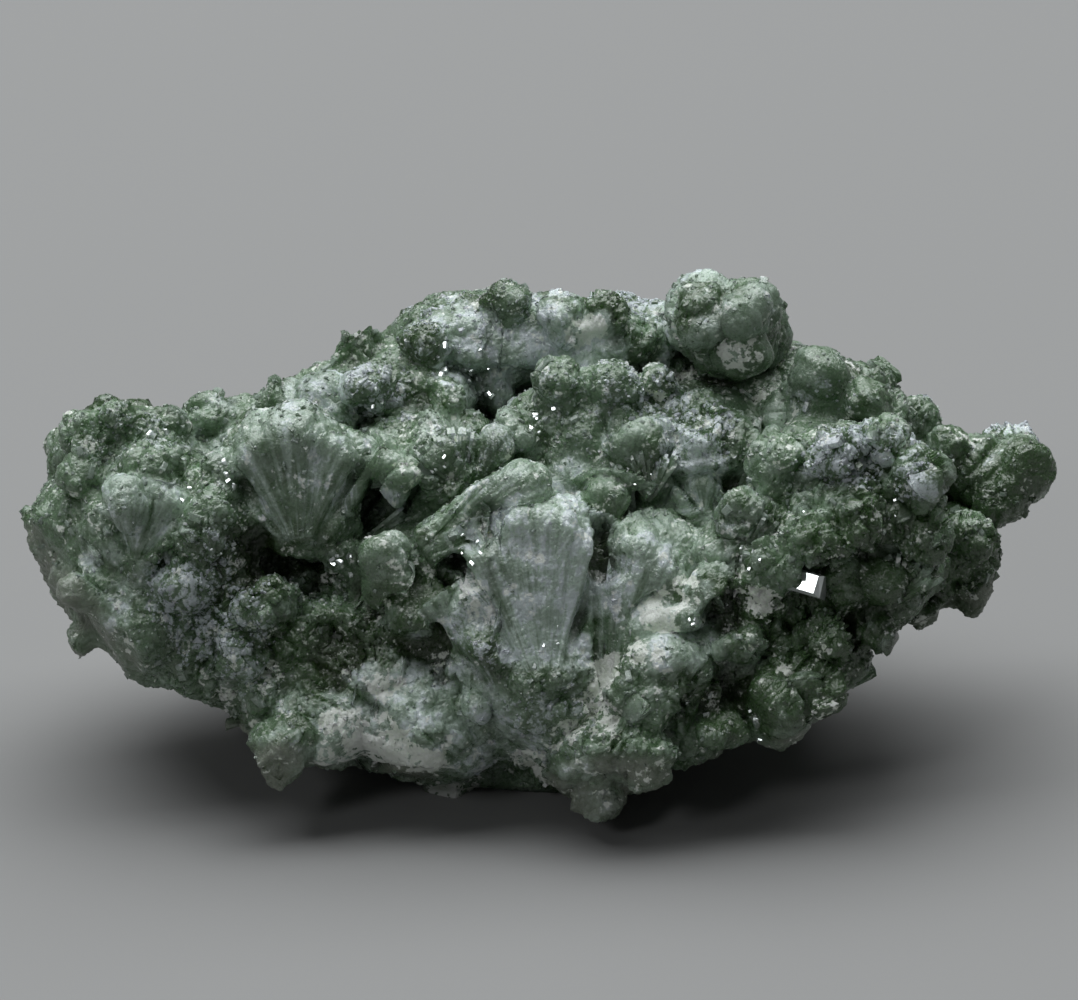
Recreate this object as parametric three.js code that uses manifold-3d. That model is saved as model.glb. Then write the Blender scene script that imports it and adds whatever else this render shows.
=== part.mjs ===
// A raw prehnite specimen: green crystal fans, balls and blocks grown together over a broken
// core, resting on a small flat spot. Millimetres, +Z up. The origin is the middle of the
// stone's box at the level of its base. +X is the photograph's right and +Y points away from
// its viewer.
import * as THREE from 'three';
import { ConvexGeometry } from 'three/addons/geometries/ConvexGeometry.js';
import { ImprovedNoise } from 'three/addons/math/ImprovedNoise.js';
import { mergeVertices } from 'three/addons/utils/BufferGeometryUtils.js';
import Module from 'manifold-3d';

// Driving dimensions
const restingLevel = 0;
const mergeDistance = 1e-3;
const roughness = { share: 0.3, wave: 6.5, fineAbove: 10.5 };
const middle = new THREE.Vector3(-1, 2, 19);
const proportions = new THREE.Vector3(44, 24, 19);
const bareDepth = 1.5;
const blockStand = 0.4;

// The photograph's line of sight. Its pixels are counted in a frame of 1078 x 1000
const sight = {
  elevation: THREE.MathUtils.degToRad(25),
  distance: 420,
  pixelsPerMm: 11.4,
  column: 539,
  row: 500,
  target: new THREE.Vector3(0, -12, 30.2),
};
sight.forward = new THREE.Vector3(0, Math.cos(sight.elevation), -Math.sin(sight.elevation));
sight.right = new THREE.Vector3(1, 0, 0);
sight.up = new THREE.Vector3().crossVectors(sight.right, sight.forward);
sight.toward = sight.forward.clone().negate();
sight.eye = sight.target.clone().addScaledVector(sight.forward, -sight.distance);

// The masses that the photograph shows, each a rough ellipsoid. Its middle is a pixel and a
// depth in mm past the plane of sharp focus; its radii, in mm, go across the picture, up it
// and away from the viewer
const seenMasses = [
  { name: 'left block', column: 152, row: 562, depth: 15, radii: [10.6, 12.5, 13] },
  { name: 'left rim', column: 140, row: 468, depth: 17, radii: [8, 5, 8] },
  { name: 'left shoulder', column: 200, row: 540, depth: 9, radii: [7, 7, 7] },
  { name: 'left front', column: 235, row: 625, depth: 13, radii: [9, 9, 10] },
  { name: 'left back', column: 285, row: 470, depth: 20, radii: [12, 6.6, 10] },
  { name: 'shell mound', column: 300, row: 500, depth: 9, radii: [6.5, 6, 7] },
  { name: 'back slope', column: 392, row: 404, depth: 20, radii: [9, 5.3, 9] },
  { name: 'plate slope', column: 430, row: 475, depth: 14, radii: [9, 6, 8] },
  { name: 'front wall', column: 530, row: 645, depth: 11, radii: [12, 12, 10] },
  { name: 'pale mound', column: 560, row: 575, depth: 9, radii: [7, 7, 8] },
  { name: 'second mound', column: 650, row: 620, depth: 10, radii: [7, 9, 8] },
  { name: 'wall left', column: 430, row: 720, depth: 10, radii: [9, 5.8, 8] },
  { name: 'bottom left', column: 320, row: 722, depth: 10, radii: [8, 5, 7] },
  { name: 'bottom tip', column: 602, row: 765, depth: 6, radii: [4.6, 5, 6] },
  { name: 'lower flank', column: 690, row: 715, depth: 9, radii: [6.5, 5, 6] },
  { name: 'saddle', column: 620, row: 465, depth: 15, radii: [14, 8.5, 8.5] },
  { name: 'back ridge', column: 500, row: 342, depth: 22, radii: [10.5, 4.3, 8] },
  { name: 'ridge right', column: 612, row: 350, depth: 22, radii: [8, 4.3, 8] },
  { name: 'knob', column: 728, row: 330, depth: 17, radii: [5.4, 4.8, 6] },
  { name: 'right mass', column: 838, row: 530, depth: 12, radii: [9.6, 10.5, 11] },
  { name: 'right shoulder', column: 846, row: 422, depth: 17, radii: [6.6, 5.4, 8] },
  { name: 'bulge', column: 862, row: 500, depth: 6, radii: [6.3, 6.5, 6] },
  { name: 'right cheek', column: 752, row: 590, depth: 9, radii: [6.5, 8, 7] },
  { name: 'lower right', column: 800, row: 662, depth: 9, radii: [5.8, 5.4, 6.5] },
  { name: 'horn', column: 972, row: 474, depth: 20, radii: [6.8, 3.6, 5] },
  { name: 'right lobes', column: 942, row: 560, depth: 18, radii: [5, 5.4, 6] },
];

// The masses behind and below, in mm along X, Y and Z
const hiddenMasses = [
  { name: 'body', at: [0, 4, 18], radii: [32, 16, 12] },
  { name: 'back left', at: [-20, 9, 20], radii: [16, 11, 11] },
  { name: 'back right', at: [18, 12, 21], radii: [16, 10, 13] },
  { name: 'back heap', at: [-5, 17, 27], radii: [13, 7, 8] },
  { name: 'foot', at: [-1, -1, 6.5], radii: [16, 11, 8.5] },
  { name: 'hollow floor', at: [-15, -9, 12], radii: [13, 7, 8] },
  { name: 'under right', at: [16, -7, 14], radii: [10, 8, 8] },
];

// The faces along which the stone broke: a point on each, in mm, and the way it faces
const breaks = [
  { name: 'left break', at: [-41.5, -8, 18], facing: [-0.8, -0.45, -0.4] },
  { name: 'front break', at: [-10, -21, 9], facing: [-0.05, -0.7, -0.71] },
  { name: 'back break', at: [-6, 22, 18], facing: [-0.25, 0.93, -0.27] },
  { name: 'back undercut', at: [0, 14, 6], facing: [0.1, 0.5, -0.86] },
  { name: 'left undercut', at: [-26, 0, 5.5], facing: [-0.4, -0.1, -0.91] },
  { name: 'right undercut', at: [30, 0, 11], facing: [0.42, -0.1, -0.9] },
];

// Crystal fans. root: the pixel of the root; reach: root to crest, in pixels; aim: the way the
// fan opens across the picture, 90 being up; spread: half its opening; lean: how far its crest
// tips towards the viewer; thick and proud: its thickness and how far its root stands out, mm
const fans = [
  { name: 'shell fan', root: [300, 548], reach: 122, aim: 91, spread: 38, lean: 8, thick: 6, proud: 1.5 },
  { name: 'shell flank', root: [352, 520], reach: 84, aim: 84, spread: 30, lean: -5, thick: 5, proud: 1 },
  { name: 'wedge', root: [398, 528], reach: 56, aim: 92, spread: 27, lean: 10, thick: 3, proud: 4 },
  { name: 'tongue', root: [425, 552], reach: 135, aim: 31, spread: 16, lean: 5, thick: 6, proud: 4 },
  { name: 'pale fan', root: [545, 690], reach: 184, aim: 95, spread: 26, lean: 2, thick: 7, proud: 1 },
  { name: 'pale flank', root: [500, 695], reach: 115, aim: 108, spread: 26, lean: 5, thick: 6, proud: 0.5 },
  { name: 'second fan', root: [608, 712], reach: 186, aim: 73, spread: 21, lean: 2, thick: 7, proud: 1.5 },
  { name: 'lower strip', root: [590, 760], reach: 150, aim: 58, spread: 15, lean: 0, thick: 6, proud: 0.5 },
  { name: 'dark fan', root: [425, 560], reach: 70, aim: 270, spread: 42, lean: 10, thick: 6, proud: 2 },
  { name: 'middle block', root: [610, 530], reach: 60, aim: 88, spread: 38, lean: 5, thick: 5, proud: 1.5 },
  { name: 'crest lump', root: [645, 495], reach: 64, aim: 95, spread: 36, lean: 5, thick: 5, proud: 1.5 },
  { name: 'smooth fan', root: [705, 515], reach: 55, aim: 90, spread: 40, lean: 8, thick: 6, proud: 1 },
  { name: 'white blade', root: [470, 770], reach: 150, aim: 163, spread: 15, lean: 0, thick: 4, proud: 0.5 },
  { name: 'sheaf', root: [470, 480], reach: 58, aim: 132, spread: 34, lean: 15, thick: 5, proud: 1 },
  { name: 'sheaf right', root: [478, 478], reach: 60, aim: 60, spread: 30, lean: 10, thick: 4, proud: 1 },
  { name: 'left pale fan', root: [130, 565], reach: 80, aim: 80, spread: 30, lean: 2, thick: 7, proud: 1 },
  { name: 'left edge fan', root: [110, 600], reach: 66, aim: 165, spread: 24, lean: 0, thick: 7, proud: 0 },
];

// Balls of grown-together crystals: the middle and width of each as seen, in pixels. The depth,
// in mm past the plane of sharp focus, places those that the line of sight takes past the core
const balls = [
  { group: 'left rim', width: 56, depth: 17, at: [[82, 442], [122, 432], [168, 428]] },
  { group: 'left rim', width: 66, depth: 17, at: [[213, 424], [286, 418], [331, 402]] },
  { group: 'left shoulder', width: 60, at: [[92, 480], [150, 470], [222, 486]] },
  { group: 'left face', width: 76, at: [[128, 511], [206, 528], [186, 580]] },
  { group: 'left foot', width: 64, depth: 14, at: [[86, 636], [190, 724]] },
  { group: 'back slope', width: 70, at: [[372, 390], [442, 400], [490, 380], [560, 390]] },
  { group: 'back slope', width: 56, at: [[530, 440], [610, 395]] },
  { group: 'ridge', width: 60, depth: 22, at: [[432, 348], [505, 312], [560, 326], [606, 322]] },
  { group: 'knob', width: 62, depth: 15, at: [[704, 312], [742, 312], [738, 352]] },
  { group: 'right shoulder', width: 60, depth: 15, at: [[822, 384], [864, 402], [772, 424]] },
  { group: 'right mass', width: 66, at: [[884, 445], [912, 480], [842, 456], [780, 476]] },
  { group: 'right mass', width: 60, at: [[920, 536], [860, 522], [812, 535], [880, 575]] },
  { group: 'right mass', width: 64, at: [[740, 520], [770, 566], [868, 622], [826, 640]] },
  { group: 'front right', width: 60, at: [[716, 590], [745, 640], [700, 680], [720, 728]] },
  { group: 'left hollow', width: 56, at: [[262, 600], [240, 650], [264, 690], [350, 560]] },
  { group: 'green lobe', width: 84, depth: 9, at: [[286, 750]] },
  { group: 'bottom lip', width: 66, depth: 6, at: [[600, 788], [640, 764]] },
  { group: 'lower right', width: 80, depth: 9, at: [[818, 688], [780, 706]] },
  { group: 'right lobes', width: 60, depth: 17, at: [[970, 540], [970, 592], [925, 604]] },
  { group: 'horn', width: 60, depth: 19, at: [[950, 454], [1022, 464], [1000, 494]] },
];

// Tabular crystals scattered over the whole stone, and balls over its unseen sides: how many,
// and their smallest and largest size in mm
const scatter = { blocks: 22, blockSize: [2.2, 4], balls: 30, ballSize: [5, 9.5] };

// The shapes of single forms, as shares of their size. Of a fan: how far its crest falls away
// to the sides, how ragged it is, where its bevel starts, and half its root's width. Of a
// ball: its corners, its width along each axis, how uneven it is and how far it stands out.
// Of a block: half its length and width, its height, its bevel and its tilt
const fanShape = { steps: 4, droop: 0.14, ragged: 0.03, bevel: 0.9, halfThick: 0.42, halfRoot: 0.12 };
const ballShape = {
  corners: 11,
  widths: [[0.8, 1.3], [0.8, 1.2], [0.7, 1]],
  uneven: [0.88, 1.08],
  out: 0.2,
};
const blockShape = {
  halfLength: [0.4, 0.6],
  halfWidth: [0.25, 0.5],
  top: [0.45, 0.75],
  bevel: 0.7,
  tilt: 0.6,
};

const finish = { color: 0x64755f, roughness: 0.45, metalness: 0, flatShading: true };

// Directions spread evenly over a sphere, along a spiral
function spread(count) {
  return Array.from({ length: count }, (_, i) => {
    const z = 1 - 2 * (i + 0.5) / count;
    const turn = i * Math.PI * (3 - Math.sqrt(5));
    const across = Math.sqrt(1 - z * z);
    return new THREE.Vector3(across * Math.cos(turn), across * Math.sin(turn), z);
  });
}

// Numbers from 0 to 1 that repeat from run to run
function randomFrom(seed) {
  let state = seed;
  return () => {
    state = (Math.imul(state, 1664525) + 1013904223) >>> 0;
    return state / 4294967296;
  };
}
const random = randomFrom(20);
const noise = new ImprovedNoise();
const between = (low, high) => low + (high - low) * random();
const vector = ([x, y, z]) => new THREE.Vector3(x, y, z);
const [xAxis, yAxis, zAxis] = [[1, 0, 0], [0, 1, 0], [0, 0, 1]].map(vector);
const anyWay = () => new THREE.Vector3(between(-1, 1), between(-1, 1), between(-1, 1));
const degrees = THREE.MathUtils.degToRad;

// A mass: a round mesh stretched along three axes, its surface pushed in and out in waves
function mass(at, axes, radii) {
  const detail = Math.max(...radii) > roughness.fineAbove ? 2 : 1;
  const geometry = closed(new THREE.IcosahedronGeometry(1, detail));
  const position = geometry.getAttribute('position');
  for (let i = 0; i < position.count; i++) {
    const round = new THREE.Vector3().fromBufferAttribute(position, i);
    const offset = new THREE.Vector3();
    axes.forEach((axis, j) => offset.addScaledVector(axis, round.getComponent(j) * radii[j]));
    const wave = offset.clone().add(at).divideScalar(roughness.wave);
    offset.multiplyScalar(1 + roughness.share * noise.noise(wave.x, wave.y, wave.z)).add(at);
    position.setXYZ(i, offset.x, offset.y, offset.z);
  }
  return geometry;
}

// How far a point stands in front of the nearest broken face, in mm
function beyondBreak(point) {
  return Math.max(...breaks.map(({ at, facing }) =>
    point.clone().sub(vector(at)).dot(vector(facing).normalize())));
}

// Everything in front of a plane, as a large block standing on it
function blockBeyond(at, facing) {
  const side = 200;
  const turn = new THREE.Quaternion().setFromUnitVectors(zAxis, facing.clone().normalize());
  return closed(new THREE.BoxGeometry(side, side, side)
    .translate(0, 0, side / 2)
    .applyQuaternion(turn)
    .translate(at.x, at.y, at.z));
}

// A geometry reduced to positions, its shared vertices merged, so that it is one closed surface
function closed(geometry) {
  const bare = new THREE.BufferGeometry();
  bare.setAttribute('position', geometry.getAttribute('position'));
  if (geometry.index) bare.setIndex(geometry.index);
  return mergeVertices(bare, mergeDistance);
}

// The point at a pixel and a depth past the plane of sharp focus
function onSight(column, row, depth) {
  return sight.eye.clone().addScaledVector(sightLine(column, row), sight.distance + depth);
}

// The line of sight through a pixel
function sightLine(column, row) {
  const focal = sight.pixelsPerMm * sight.distance;
  return sight.forward.clone()
    .addScaledVector(sight.right, (column - sight.column) / focal)
    .addScaledVector(sight.up, (sight.row - row) / focal);
}

const wasm = await Module();
wasm.setup();

function solidOf(geometry) {
  return new wasm.Manifold(new wasm.Mesh({
    numProp: 3,
    vertProperties: geometry.getAttribute('position').array,
    triVerts: new Uint32Array(geometry.index.array),
  }));
}

function geometryOf(solid) {
  const { vertProperties, triVerts } = solid.getMesh();
  const geometry = new THREE.BufferGeometry();
  geometry.setAttribute('position', new THREE.BufferAttribute(vertProperties, 3));
  geometry.setIndex(new THREE.BufferAttribute(triVerts, 1));
  return geometry;
}

const cut = (solid, { at, facing }) => solid.subtract(solidOf(blockBeyond(vector(at), vector(facing))));
const joined = (solids) => solids.reduce((whole, solid) => whole.add(solid));

// The core: all the masses joined, then broken off along each broken face
const coreSolid = breaks.reduce(cut, joined([
  ...seenMasses.map(({ column, row, depth, radii }) =>
    solidOf(mass(onSight(column, row, depth), [sight.right, sight.up, sight.toward], radii))),
  ...hiddenMasses.map(({ at, radii }) => solidOf(mass(vector(at), [xAxis, yAxis, zAxis], radii))),
]));
const coreMesh = new THREE.Mesh(geometryOf(coreSolid), new THREE.MeshBasicMaterial());
coreMesh.material.side = THREE.DoubleSide;
coreMesh.updateMatrixWorld();

// Where a pixel meets the core and which way the surface faces there. Where the line of sight
// passes the core, the point lies at the given depth
function seen(column, row, depth) {
  const line = sightLine(column, row);
  const caster = new THREE.Raycaster(sight.eye, line.clone().normalize());
  const [hit] = caster.intersectObject(coreMesh);
  if (hit) return { point: hit.point, normal: hit.face.normal.clone() };
  if (depth === undefined) throw new Error('the core is not behind pixel ' + column + ', ' + row);
  const point = onSight(column, row, depth);
  return { point, normal: point.clone().sub(middle).normalize() };
}

// Size in mm of a length given in pixels
const mm = (pixels) => pixels / sight.pixelsPerMm;

// The hull of points given along three axes from an origin
function hull(points, origin, across, out, up) {
  const placed = points.map(([x, y, z]) =>
    origin.clone().addScaledVector(across, x).addScaledVector(out, y).addScaledVector(up, z));
  return closed(new ConvexGeometry(placed));
}

// A fan: a wedge from a narrow root to a round crest, bevelled round its rim
function fan({ root, reach, aim, spread: opening, lean, thick, proud }) {
  const { point, normal } = seen(...root);
  const up = new THREE.Vector3()
    .addScaledVector(sight.right, Math.cos(degrees(aim)))
    .addScaledVector(sight.up, Math.sin(degrees(aim)))
    .multiplyScalar(Math.cos(degrees(lean)))
    .addScaledVector(sight.toward, Math.sin(degrees(lean)));
  const across = new THREE.Vector3().crossVectors(sight.toward, up).normalize();
  const out = new THREE.Vector3().crossVectors(across, up);
  const origin = point.clone().addScaledVector(normal, proud - thick / 2);
  const half = thick * fanShape.halfThick;
  const halfRoot = mm(reach) * fanShape.halfRoot;
  const points = [-1, 1].flatMap((side) => [[side * halfRoot, half, 0], [side * halfRoot, -half, 0]]);
  for (let i = 0; i <= fanShape.steps; i++) {
    const place = 2 * i / fanShape.steps - 1;
    const uneven = between(-fanShape.ragged, fanShape.ragged);
    const radius = mm(reach) * (1 - fanShape.droop * place ** 2 + uneven);
    const x = radius * Math.sin(degrees(opening) * place);
    const z = radius * Math.cos(degrees(opening) * place);
    points.push([x, 0, z]);
    points.push([x * fanShape.bevel, half, z * fanShape.bevel]);
    points.push([x * fanShape.bevel, -half, z * fanShape.bevel]);
  }
  return hull(points, origin, across, out, up);
}

// A ball of crystals: the hull of points spread evenly round it and pushed in and out
function ball(point, normal, radius) {
  const centre = point.clone().addScaledVector(normal, radius * ballShape.out);
  const turn = new THREE.Euler(between(0, Math.PI), between(0, Math.PI), between(0, Math.PI));
  const stretch = vector(ballShape.widths.map((range) => between(...range)));
  const points = spread(ballShape.corners).map((ray) => ray
    .multiply(stretch)
    .multiplyScalar(radius * between(...ballShape.uneven))
    .applyEuler(turn)
    .add(centre));
  return closed(new ConvexGeometry(points));
}

// A tabular crystal: a box with its top edges cut off, standing out of the surface at a tilt
function block(point, normal, size) {
  const up = normal.clone().addScaledVector(anyWay(), blockShape.tilt).normalize();
  const across = anyWay().cross(up).normalize();
  const out = new THREE.Vector3().crossVectors(up, across);
  const halfLength = size * between(...blockShape.halfLength);
  const halfWidth = size * between(...blockShape.halfWidth);
  const top = size * between(...blockShape.top);
  const points = [];
  for (const x of [-halfLength, halfLength]) {
    for (const y of [-halfWidth, halfWidth]) {
      points.push([x, y, -top]);
      points.push([x, y, top * blockShape.bevel]);
      points.push([x * blockShape.bevel, y * blockShape.bevel, top]);
    }
  }
  return hull(points, point, across, out, up);
}

// Where a ray from the middle leaves the core, and the way the surface faces there
function outward(ray) {
  const caster = new THREE.Raycaster(middle, ray.clone().multiply(proportions).normalize());
  const hit = caster.intersectObject(coreMesh).pop();
  return { point: hit.point, normal: hit.face.normal.clone() };
}

// Whether a point lies on a broken face, which is bare
const onBreak = (point) => beyondBreak(point) > -bareDepth;

// The crystals that stand on the core, each a closed geometry
function crystals() {
  const grown = fans.map(fan);
  for (const { width, depth, at } of balls) {
    for (const [column, row] of at) {
      const { point, normal } = seen(column, row, depth);
      grown.push(ball(point, normal, mm(width) / 2));
    }
  }
  for (const { point, normal } of spread(scatter.balls).map(outward)) {
    const radius = between(...scatter.ballSize) / 2;
    const unseen = normal.dot(sight.toward) < 0;
    if (unseen && !onBreak(point)) grown.push(ball(point, normal, radius));
  }
  for (const { point, normal } of spread(scatter.blocks).map(outward)) {
    const size = between(...scatter.blockSize);
    if (!onBreak(point)) grown.push(block(point.addScaledVector(normal, blockStand), normal, size));
  }
  return grown;
}

// The stone without the pockets sealed between its crystals. Vertices closer than a
// micrometre count as one, since that may close the neck of a pocket
function outerSkin(solid) {
  const bodies = solidOf(closed(geometryOf(solid))).decompose();
  return bodies.sort((a, b) => b.volume() - a.volume())[0];
}

const grownTogether = joined([coreSolid, ...crystals().map(solidOf)]);
const resting = cut(grownTogether, { at: [0, 0, restingLevel], facing: [0, 0, -1] });
const geometry = geometryOf(outerSkin(resting));
geometry.computeBoundingBox();
const boxMiddle = geometry.boundingBox.getCenter(new THREE.Vector3());
geometry.translate(-boxMiddle.x, -boxMiddle.y, -restingLevel);

const prehnite = new THREE.Mesh(geometry, new THREE.MeshStandardMaterial(finish));
prehnite.name = 'prehnite';

const stone = new THREE.Group();
stone.add(prehnite);
export default stone;
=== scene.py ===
import math
import bmesh
import bpy
import numpy as np
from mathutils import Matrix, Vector
from mathutils.bvhtree import BVHTree


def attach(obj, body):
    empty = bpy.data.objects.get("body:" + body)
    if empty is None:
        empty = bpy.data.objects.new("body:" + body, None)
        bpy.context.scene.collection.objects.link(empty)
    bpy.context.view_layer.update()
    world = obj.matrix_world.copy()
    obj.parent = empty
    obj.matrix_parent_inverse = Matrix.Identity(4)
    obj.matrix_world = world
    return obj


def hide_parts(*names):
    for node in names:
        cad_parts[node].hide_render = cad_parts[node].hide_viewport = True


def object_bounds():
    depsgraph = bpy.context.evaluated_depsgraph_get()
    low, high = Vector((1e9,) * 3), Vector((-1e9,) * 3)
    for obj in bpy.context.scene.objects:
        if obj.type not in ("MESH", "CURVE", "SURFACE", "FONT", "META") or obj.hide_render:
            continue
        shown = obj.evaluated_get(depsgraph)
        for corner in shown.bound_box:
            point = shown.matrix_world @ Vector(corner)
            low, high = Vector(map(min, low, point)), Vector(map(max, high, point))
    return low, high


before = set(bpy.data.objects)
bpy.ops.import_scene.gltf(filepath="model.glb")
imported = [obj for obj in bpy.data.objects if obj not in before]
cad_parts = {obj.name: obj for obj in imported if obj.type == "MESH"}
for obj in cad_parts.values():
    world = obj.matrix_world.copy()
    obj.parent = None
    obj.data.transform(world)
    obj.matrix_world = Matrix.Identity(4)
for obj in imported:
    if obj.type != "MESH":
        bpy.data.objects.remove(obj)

# Raw prehnite. Lengths are in millimetres until a mesh is made, which takes them to metres.
# Places on the stone are given as pixels of the photograph, 1078 x 1000, and found on the
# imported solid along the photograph's line of sight
mm = 0.001
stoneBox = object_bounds()
random = np.random.default_rng(7)

sight = {
    "elevation": math.radians(25),
    "distance": 420,
    "pixelsPerMm": 11.4,
    "column": 539,
    "row": 500,
    "target": (-0.08, -13.19, 30.2),
    "frameWidth": 1078,
    "middleDepth": 15,          # how far the stone's middle lies beyond the target
    "sensorWidth": 36,
    "clipStart": 0.01,          # in metres
}
forward = np.array([0, math.cos(sight["elevation"]), -math.sin(sight["elevation"])])
right = np.array([1.0, 0, 0])
upward = np.cross(right, forward)
toward = -forward
eye = np.array(sight["target"]) - forward * sight["distance"]
focal = sight["pixelsPerMm"] * sight["distance"]


def makeCamera():
    camera = bpy.data.cameras.new("camera")
    camera.sensor_width = sight["sensorWidth"]
    camera.lens = sight["sensorWidth"] * focal / sight["frameWidth"]
    camera.clip_start = sight["clipStart"]
    camera.dof.use_dof = False
    view = bpy.data.objects.new("camera", camera)
    view.location = Vector(eye * mm)
    view.rotation_euler = (math.radians(90) - sight["elevation"], 0, 0)
    bpy.context.collection.objects.link(view)
    bpy.context.scene.camera = view


makeCamera()
print("camera placed")


# Noise and cells, worked out for whole arrays of points

def hashed(x, y, z, seed):
    # Three whole numbers times large primes, mixed by xor, shifts and products: 0 to 1
    h = (x * 73856093) ^ (y * 19349663) ^ (z * 83492791) ^ (seed * 668265263)
    for turn in range(2):
        h = ((h ^ (h >> 16)) * 73244475) & 0xFFFFFFFF
    return (h ^ (h >> 16)) / 0xFFFFFFFF


def hashedThree(cubes, seed):
    return np.stack([hashed(*cubes.T, seed + k) for k in range(3)], axis=1)


def smooth(low, high, x):
    # 0 below low, 1 above high, and 3t^2 - 2t^3 between
    t = np.clip((x - low) / (high - low), 0, 1)
    return t * t * (3 - 2 * t)


def cornerShares(t):
    # The eight corners of a cube and how much each counts at places t in it: the product of
    # how near it is along the three axes
    for dx, dy, dz in np.ndindex(2, 2, 2):
        share = np.abs(1 - dx - t[:, 0]) * np.abs(1 - dy - t[:, 1]) * np.abs(1 - dz - t[:, 2])
        yield dx, dy, dz, share


def waves(points, size, octaves, seed):
    # Random values at the corners of cubes, blended smoothly between, each octave half the
    # size and half the height of the one before: about -1 to 1
    total = np.zeros(len(points))
    for octave in range(octaves):
        place = points * 2 ** octave / size + 17.3 * octave
        base = np.floor(place).astype(np.int64)
        t = place - base
        t = t * t * (3 - 2 * t)
        x, y, z = base.T
        value = sum(share * hashed(x + dx, y + dy, z + dz, seed + octave)
                    for dx, dy, dz, share in cornerShares(t))
        total += (2 * value - 1) * 0.5 ** octave
    return total


def cells(points, size, seed):
    # One point in each cube of a grid, moved at random. Gives the distances to the nearest
    # and the next, the offset from the nearest, all in cubes, and three numbers of that cell
    place = points / size
    base = np.floor(place).astype(np.int64)
    nearest = np.full(len(points), 9.0)
    following = nearest.copy()
    offset = np.zeros_like(place)
    owner = np.zeros_like(base)
    for step in np.ndindex(3, 3, 3):
        cube = base + (np.array(step) - 1)
        away = place - cube - 0.1 - 0.8 * hashedThree(cube, seed)
        distance = np.sqrt((away ** 2).sum(axis=1))
        nearer = distance < nearest
        following = np.where(nearer, nearest, np.minimum(following, distance))
        nearest = np.where(nearer, distance, nearest)
        offset[nearer] = away[nearer]
        owner[nearer] = cube[nearer]
    return nearest, following, offset, hashedThree(owner, seed + 5)


def unit(v):
    return v / np.maximum(np.linalg.norm(v, axis=-1, keepdims=True), 1e-9)


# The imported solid, merged, and a tree for finding places on it

def packedSolid():
    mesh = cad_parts["prehnite"].data.copy()
    shape = bmesh.new()
    shape.from_mesh(mesh)
    bmesh.ops.remove_doubles(shape, verts=shape.verts, dist=1e-6)
    shape.to_mesh(mesh)
    shape.free()
    return mesh


def trianglesOf(mesh):
    # Points in mm and the corners of each triangle
    points = np.empty(len(mesh.vertices) * 3)
    mesh.vertices.foreach_get("co", points)
    mesh.calc_loop_triangles()
    corners = np.empty(len(mesh.loop_triangles) * 3, dtype=np.int32)
    mesh.loop_triangles.foreach_get("vertices", corners)
    return points.reshape(-1, 3) / mm, corners.reshape(-1, 3).astype(np.int64)


solid = packedSolid()
solidPoints, solidFaces = trianglesOf(solid)
solidTree = BVHTree.FromPolygons(solidPoints.tolist(), solidFaces.tolist())


def sightLine(column, row):
    return forward + right * (column - sight["column"]) / focal + upward * (sight["row"] - row) / focal


def onSight(column, row, depth):
    return eye + sightLine(column, row) * (sight["distance"] + depth)


def seen(column, row):
    # Where the line of sight through a pixel meets the solid, or else the nearest place
    line = sightLine(column, row)
    hit = solidTree.ray_cast(Vector(eye), Vector(unit(line)))
    if hit[0] is None:
        hit = solidTree.find_nearest(Vector(onSight(column, row, sight["middleDepth"])))
    return np.array(hit[0])


def spotsOf(rows):
    # The place on the stone of each row's pixel, with the other numbers of the row
    return [(seen(column, row), *others) for column, row, *others in rows]


def strongest(points, spots, ragged, core=0.45):
    # The greatest of the spots' strengths, each in full from its middle to a share of its
    # radius and fading out past it in an uneven line
    most = np.zeros(len(points))
    for place, size, strength in spots:
        away = np.sqrt(((points - place) ** 2).sum(axis=1)) / size
        most = np.maximum(most, strength * (1 - smooth(core, 1.15, away + ragged)))
    return most


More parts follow.
